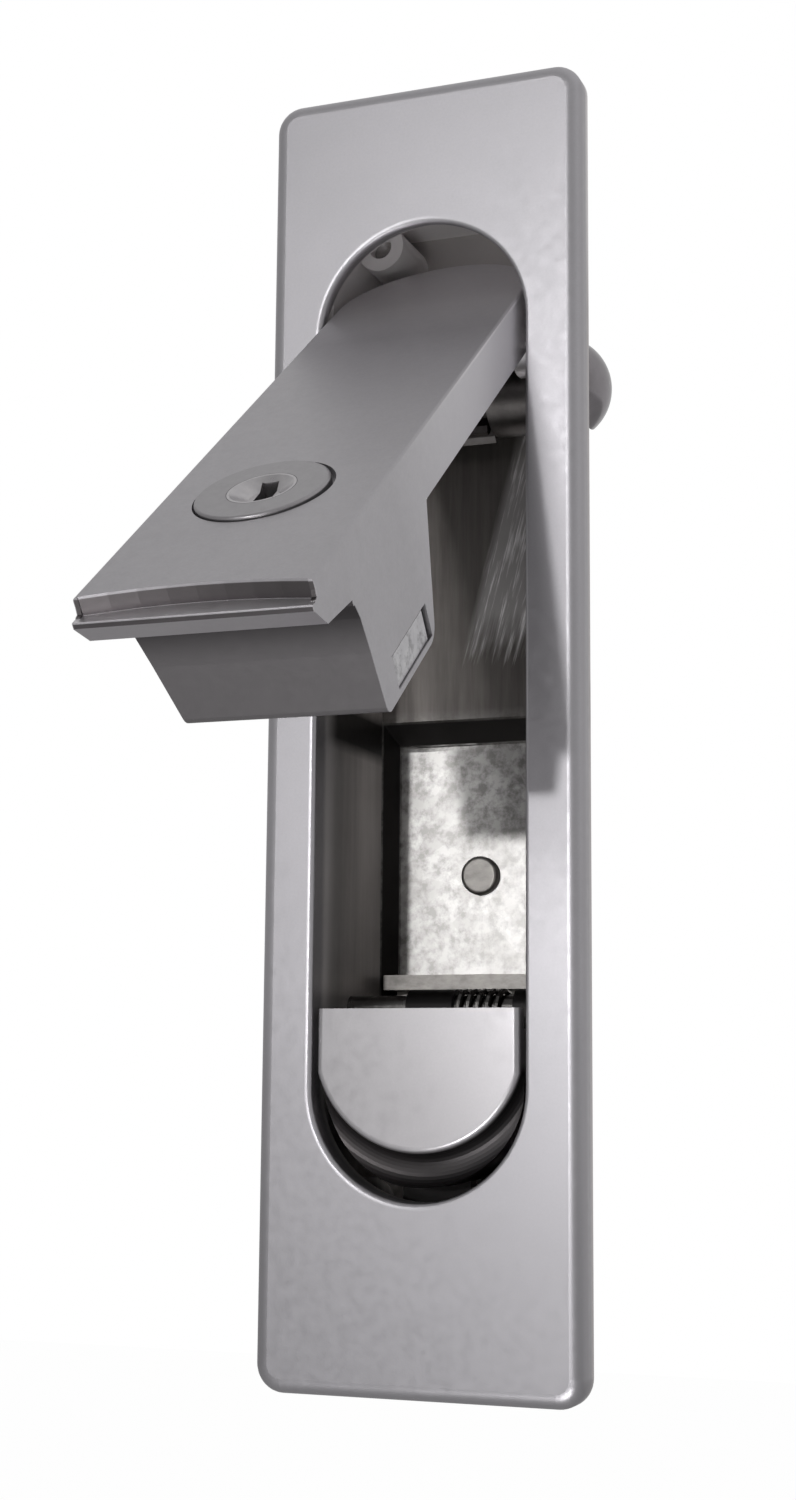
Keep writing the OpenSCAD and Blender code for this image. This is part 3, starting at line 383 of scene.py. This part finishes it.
# Depths of the slopes between the upper part and the pan, and of the pan's floor
SLOPES_FROM = (sheet_low.y + 0.0002, sheet_low.y + 0.0004)
SLOPES_TO = (PAN_DEPTH - 0.0002, PAN_DEPTH - 0.0004)
PAN_FROM = (PAN_DEPTH - 0.0004, PAN_DEPTH - 0.0002)

# Heights at which the upper part turns to painted shade, and at which painted light makes it pale again
# near its top
UPPER_PART = (-0.0005, 0.004)
SHEET_LIGHT_TOP = (0.043, 0.048)

# Y of a face's normal, from a face that looks sideways to one on the back plate's front
FRONT = (0.1, -0.1)

# Scales of the mottle, of the stretched crystals and of the brushed lines
MOTTLE_SCALE = 520
CRYSTAL_SCALE = 420
CRYSTAL_STRETCH = (1, 0.3, 1)
BRUSHED_SCALE = (900, 60, 60)

# Where the mottle turns from dark to light, how far the crystals cover it, and how rough and deep it is
MOTTLE = (0.4, 0.58)
CRYSTAL_SHARE = 0.35
SHEET_ROUGHNESS = (0.28, 0.37)
MOTTLE_DEPTH = 0.00008
MOTTLE_STRENGTH = 0.15

# Fan of pale streaks: height of its point, lean, left edge, ragged lower end and top
STREAK_POINT = 0.011
STREAK_LEAN = -0.255
STREAK_EDGE = (-0.0021, -0.0009)
STREAK_FOOT = (0.016, 0.021)
STREAK_TOP = (0.04, 0.037)

# How close and how long the streaks are, how uneven their ends, and the paler lines among them
STREAKS_ACROSS = 1700
STREAKS_ALONG = 110
STREAK_RAGGED = 0.012
PALE_LINES = (0.52, 0.68)

# Slope that the pan's shading gets, towards the lamp's reflection
PAN_TILT = 0.075


def sheet_finish():
    """Galvanised sheet: soft crystals, painted shade on its slopes and upper part, and a fan of pale
    streaks.
    """
    f = Finish("galvanised_sheet", (0.6, 0.59, 0.57), 0.85, 0.32)
    beside, depth, height = f.axes()
    mottle = f.noise(MOTTLE_SCALE, 5, 0.65)
    crystals = f.add("ShaderNodeTexVoronoi")
    crystals.inputs["Scale"].default_value = CRYSTAL_SCALE
    f.link(f.mapped(CRYSTAL_STRETCH), crystals.inputs["Vector"])
    crystal = f.add("ShaderNodeSeparateColor")
    f.link(crystals.outputs["Color"], crystal.inputs["Color"])
    zinc = f.tint(f.ramp(mottle, *MOTTLE), (0.2, 0.194, 0.189), (0.45, 0.44, 0.432))
    zinc = f.tint(f.ramp(crystal.outputs["Red"], 0, 1, high=CRYSTAL_SHARE), zinc, (0.18, 0.172, 0.165))

    brushed = f.ramp(f.noise(1, 4, 0.6, f.mapped(BRUSHED_SCALE)), *MIDDLE)
    # Painted shade: the upper part is dark, with its brushed lines
    upper_shade = f.tint(brushed, (0.11, 0.1, 0.095), (0.17, 0.158, 0.148))
    risen = f.math("SUBTRACT", height, STREAK_POINT)
    edge = f.math("ADD", beside, f.math("MULTIPLY", risen, STREAK_LEAN))
    along = f.add("ShaderNodeCombineXYZ")
    f.link(f.math("MULTIPLY", edge, STREAKS_ACROSS), along.inputs["X"])
    f.link(f.math("MULTIPLY", height, STREAKS_ALONG), along.inputs["Z"])
    streak_noise = f.noise(1, 3, 0.7, along.outputs["Vector"])
    ragged = f.math("ADD", height, f.math("MULTIPLY", streak_noise, STREAK_RAGGED))
    fan = f.both(f.ramp(edge, *STREAK_EDGE), f.ramp(ragged, *STREAK_FOOT), f.ramp(height, *STREAK_TOP))
    pale_streaks = f.tint(f.ramp(streak_noise, *PALE_LINES), (0.42, 0.405, 0.4), (1, 0.98, 0.98))
    upper_shade = f.tint(fan, upper_shade, pale_streaks)
    # Painted light: the upper part is pale again near its top
    upper_shade = f.tint(f.ramp(height, *SHEET_LIGHT_TOP), upper_shade, (0.6, 0.58, 0.57))

    normal = f.axes(f.add("ShaderNodeNewGeometry").outputs["True Normal"])
    front = f.ramp(normal["Y"], *FRONT)
    # Painted shade: the slopes between the upper part and the pan are near black
    shaded_slopes = f.both(f.ramp(depth, *SLOPES_FROM), f.ramp(depth, *SLOPES_TO), front)
    paint = f.tint(f.both(front, f.ramp(height, *UPPER_PART)), zinc, upper_shade)
    f.color(f.tint(shaded_slopes, paint, (0.05, 0.047, 0.046)))
    f.roughness(f.ramp(mottle, *MIDDLE, *SHEET_ROUGHNESS))

    pan = f.both(f.ramp(depth, *PAN_FROM), f.ramp(height, *reversed(UPPER_PART)))
    f.bump(f.both(pan, beside, -PAN_TILT), 1)
    f.bump(mottle, MOTTLE_DEPTH, MOTTLE_STRENGTH)
    return f


# Plated and drawn steel

# Noise scales of the lines on pins, polished dome, turned plug, bolt, wire and sheared strips
PIN_LINES = (60, 900, 900)
DOME_LINES = (300, 300, 300)
PLUG_LINES = (700, 700, 700)
BOLT_LINES = (120, 700, 700)
WIRE_LINES = (500, 500, 500)
STRIP_LINES = (500, 300, 900)

# How much smoother and rougher than its mean drawn steel gets, and its lines' depth
STEEL_SPREAD = (-0.05, 0.08)
LINE_DEPTH = 0.00003
LINE_STRENGTH = 0.3

# The bolt's smudges: their scale, and where they start and end on its noise
SMUDGE_SCALE = 650
SMUDGES = (0.5, 0.72)


def drawn_steel(name, light, dark, rough, lines_scale):
    """Plated steel with fine drawn lines."""
    f = Finish(name, light, 1.0, rough)
    lines = f.noise(1, 4, 0.6, f.mapped(lines_scale))
    f.color(f.tint(f.ramp(lines, *MIDDLE), dark, light))
    f.roughness(f.ramp(lines, *WIDE, *(rough + more for more in STEEL_SPREAD)))
    f.bump(lines, LINE_DEPTH, LINE_STRENGTH)
    return f


def bolt_finish():
    """Bright plating with dark smudges."""
    f = drawn_steel("bolt_plating", (0.66, 0.65, 0.66), (0.5, 0.49, 0.51), 0.32, BOLT_LINES)
    smudges = f.ramp(f.noise(SMUDGE_SCALE, 4, 0.7), *SMUDGES)
    f.color(f.tint(smudges, f.paint(), (0.2, 0.19, 0.2)))
    return f


# Each finish, with the nodes that wear it
WEARS = (
    (housing_finish(), ["lock_housing"]),
    (handle_finish(), ["handle"]),
    (button_finish(), ["push_button"]),
    (sheet_finish(), ["back_plate", "rod_guide"]),
    (
        drawn_steel("sheared_strip", (0.42, 0.4, 0.38), (0.22, 0.21, 0.2), 0.4, STRIP_LINES),
        ["stop_bracket", "travel_stop", "bracket_rivets", "guide_rivet"],
    ),
    (
        drawn_steel("bright_pin", (0.6, 0.59, 0.58), (0.4, 0.39, 0.385), 0.22, PIN_LINES),
        ["handle_pin", "rod_pin", "pin_washer", "back_screws"],
    ),
    (
        drawn_steel("polished_dome", (0.32, 0.3, 0.315), (0.25, 0.235, 0.245), 0.16, DOME_LINES),
        ["drive_pin"],
    ),
    (blasted("satin_cylinder", (0.42, 0.407, 0.42), (0.38, 0.367, 0.38), 0.35), ["cylinder_body"]),
    (
        drawn_steel("turned_plug", (0.62, 0.6, 0.61), (0.5, 0.485, 0.5), 0.3, PLUG_LINES),
        ["key_plug"],
    ),
    (bolt_finish(), ["side_bolt"]),
    # Nearly black, as painted shade for the springs and the button pin, which sit in shade
    (
        drawn_steel("spring_wire", (0.16, 0.155, 0.15), (0.08, 0.077, 0.075), 0.24, WIRE_LINES),
        ["handle_spring", "button_spring", "button_pin"],
    ),
    # Nearly black, as painted shade for the crank and the small parts with it
    (
        drawn_steel("dark_crank", (0.16, 0.15, 0.147), (0.1, 0.093, 0.09), 0.3, DOME_LINES),
        ["drive_crank", "drive_clip", "rod_clips", "cylinder_screw"],
    ),
    (
        drawn_steel("driver_zinc", (0.55, 0.5, 0.4), (0.42, 0.38, 0.3), 0.35, DOME_LINES),
        ["bolt_driver"],
    ),
)

for finish, names in WEARS:
    for name in names:
        mesh = nodes[name].data
        mesh.materials.clear()
        mesh.materials.append(finish.mat)

# Floor, world, lamps and camera

FLOOR_HEIGHT = -0.45
FLOOR_HALF = 3

# Share of plain white that the camera sees in the floor; the rest is the floor as it is lit
FLOOR_WHITE = 0.985

# Brightness of the room in front of the lock and behind it, the way from the one to the other, and how
# far along that way the change starts and ends
ROOM_FRONT = 0.26
ROOM_BACK = 0.6
ROOM_TOWARD = (0.45, 0.7, 0.6)
ROOM_CHANGE = (-0.35, 0.85)

# Share of plain white that the world gives to reflections
REFLECTED_WHITE = 0.12


def floor():
    """Pale floor well below the lock, nearly white to the camera."""
    bm = bmesh.new()
    bmesh.ops.create_grid(bm, x_segments=1, y_segments=1, size=FLOOR_HALF)
    bmesh.ops.translate(bm, verts=bm.verts, vec=(0, 0, FLOOR_HEIGHT))
    mesh = bpy.data.meshes.new("floor")
    bm.to_mesh(mesh)
    bm.free()
    obj = bpy.data.objects.new("floor", mesh)
    bpy.context.collection.objects.link(obj)
    mat = bpy.data.materials.new("pale_floor")
    mat.use_nodes = True
    tree = mat.node_tree
    shader = tree.nodes["Principled BSDF"]
    shader.inputs["Base Color"].default_value = (0.7, 0.7, 0.7, 1)
    shader.inputs["Roughness"].default_value = 0.8
    white = add_node(tree, "ShaderNodeEmission")
    white.inputs["Strength"].default_value = 1
    path = add_node(tree, "ShaderNodeLightPath")
    share = add_node(tree, "ShaderNodeMath", operation="MULTIPLY")
    share.inputs[1].default_value = FLOOR_WHITE
    mix = add_node(tree, "ShaderNodeMixShader")
    tree.links.new(path.outputs["Is Camera Ray"], share.inputs[0])
    tree.links.new(share.outputs[0], mix.inputs["Fac"])
    tree.links.new(shader.outputs["BSDF"], mix.inputs[1])
    tree.links.new(white.outputs["Emission"], mix.inputs[2])
    tree.links.new(mix.outputs["Shader"], tree.nodes["Material Output"].inputs["Surface"])
    mesh.materials.append(mat)


def world():
    """White to the camera, and else a room that is light above and behind the lock and dim in front."""
    studio = bpy.data.worlds.new("studio")
    bpy.context.scene.world = studio
    studio.use_nodes = True
    tree = studio.node_tree
    room = add_node(tree, "ShaderNodeTexCoord")
    toward = add_node(tree, "ShaderNodeVectorMath", operation="DOT_PRODUCT")
    toward.inputs[1].default_value = ROOM_TOWARD
    tree.links.new(room.outputs["Generated"], toward.inputs[0])
    ramp = add_node(tree, "ShaderNodeMapRange", interpolation_type="SMOOTHSTEP")
    ramp.inputs["From Min"].default_value = ROOM_CHANGE[0]
    ramp.inputs["From Max"].default_value = ROOM_CHANGE[1]
    ramp.inputs["To Min"].default_value = ROOM_FRONT
    ramp.inputs["To Max"].default_value = ROOM_BACK
    tree.links.new(toward.outputs["Value"], ramp.inputs["Value"])
    path = add_node(tree, "ShaderNodeLightPath")
    bent = add_node(tree, "ShaderNodeMath", operation="MAXIMUM")
    tree.links.new(path.outputs["Is Glossy Ray"], bent.inputs[0])
    tree.links.new(path.outputs["Is Transmission Ray"], bent.inputs[1])
    shows = add_node(tree, "ShaderNodeMath", operation="MULTIPLY_ADD")
    shows.inputs[1].default_value = REFLECTED_WHITE
    tree.links.new(bent.outputs[0], shows.inputs[0])
    tree.links.new(path.outputs["Is Camera Ray"], shows.inputs[2])
    mix = add_node(tree, "ShaderNodeMix", data_type="RGBA")
    mix.inputs["B"].default_value = (1, 1, 1, 1)
    tree.links.new(shows.outputs[0], mix.inputs["Factor"])
    tree.links.new(ramp.outputs["Result"], mix.inputs["A"])
    background = tree.nodes["Background"]
    background.inputs["Strength"].default_value = 1
    tree.links.new(mix.outputs["Result"], background.inputs["Color"])


# Each lamp's name, place, the point it faces, its diameter and its watts
LAMPS = (
    ("window", (-0.255, -2.5, 0.17), (0, 0, 0), 0.09, 8.8),
    ("softbox", (-0.27, -1.5, 0.48), (0, 0, 0), 0.4, 2.3),
    ("low_fill", (0.05, -0.45, -0.38), (0, 0, 0.06), 0.25, 1.3),
)


def lamp(name, place, target, size, watts):
    data = bpy.data.lights.new(name, "AREA")
    data.shape = "DISK"
    data.size = size
    data.energy = watts
    obj = bpy.data.objects.new(name, data)
    obj.location = place
    obj.rotation_euler = (Vector(target) - Vector(place)).to_track_quat("-Z", "Y").to_euler()
    bpy.context.collection.objects.link(obj)


# The photograph's camera: its turns about X, Y and Z, where the middle of the plate's face lies as seen
# from it (right, down and ahead), and its focal length in the photograph's pixels
CAMERA_TURNS = (-0.165, 0.36, -0.05)
PLATE_SEEN_AT = (0.00229, -0.004234, 0.246128)
FOCAL_PIXELS = 2192.656
PHOTO_TALL = 1500
SENSOR_MM = 36
CLIP_START = 0.01


def camera():
    """The photograph's camera, low and to the right, with a slight roll."""
    turn_x, turn_y, turn_z = (Matrix.Rotation(a, 3, axis) for a, axis in zip(CAMERA_TURNS, "XYZ"))
    head_on = Matrix(((1, 0, 0), (0, 0, -1), (0, 1, 0)))
    view = turn_z @ turn_y @ turn_x @ head_on
    place = -(view.transposed() @ Vector(PLATE_SEEN_AT))
    place.y += plate_low.y
    down_to_up = Matrix(((1, 0, 0), (0, -1, 0), (0, 0, -1)))
    data = bpy.data.cameras.new("view")
    data.sensor_width = SENSOR_MM
    data.lens = SENSOR_MM * FOCAL_PIXELS / PHOTO_TALL
    data.clip_start = CLIP_START
    obj = bpy.data.objects.new("view", data)
    obj.matrix_world = Matrix.Translation(place) @ (down_to_up @ view).transposed().to_4x4()
    bpy.context.collection.objects.link(obj)
    bpy.context.scene.camera = obj


floor()
world()
camera()
for entry in LAMPS:
    lamp(*entry)

bpy.context.scene.view_settings.view_transform = "Standard"
